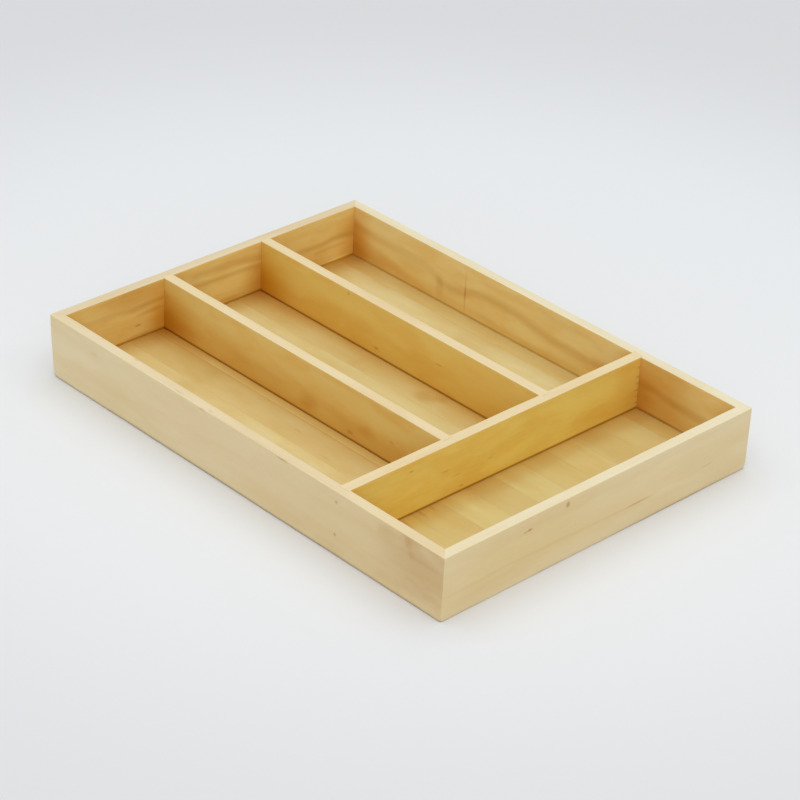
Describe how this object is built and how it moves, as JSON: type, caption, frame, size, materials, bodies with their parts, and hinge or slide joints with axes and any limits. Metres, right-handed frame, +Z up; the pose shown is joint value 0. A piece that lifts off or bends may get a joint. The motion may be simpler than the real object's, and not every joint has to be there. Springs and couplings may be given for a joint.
{
  "type": "cutlery tray",
  "caption": "Open wooden cutlery tray with a mitred rim, long pockets side by side, a cross pocket at the front and a thin base in a groove.",
  "frame": {"origin": "centre of the footprint, on the surface that the tray stands on", "axes": "+Z up, +Y along the tray from the cross pocket at the front to the closed back, +X to the right"},
  "size_m": [0.256, 0.35, 0.0425],
  "materials": {
    "rim_wood": "sanded, clear satin",
    "divider_wood": "sanded, clear satin",
    "base_wood": "sanded, clear satin",
    "brad_steel": "dull"
  },
  "bodies": {
    "root": {"left_side": "rim_wood", "right_side": "rim_wood", "front_end": "rim_wood", "back_end": "rim_wood", "cross_divider": "divider_wood", "left_divider": "divider_wood", "right_divider": "divider_wood", "base_strip_01": "base_wood", "base_strip_02": "base_wood", "base_strip_03": "base_wood", "base_strip_04": "base_wood", "base_strip_05": "base_wood", "base_strip_06": "base_wood", "base_strip_07": "base_wood", "base_strip_08": "base_wood", "base_strip_09": "base_wood", "base_strip_10": "base_wood", "base_strip_11": "base_wood", "base_strip_12": "base_wood", "cross_divider_left_brads": "brad_steel", "cross_divider_right_brads": "brad_steel", "left_divider_brads": "brad_steel", "right_divider_brads": "brad_steel"}
  },
  "joints": []
}
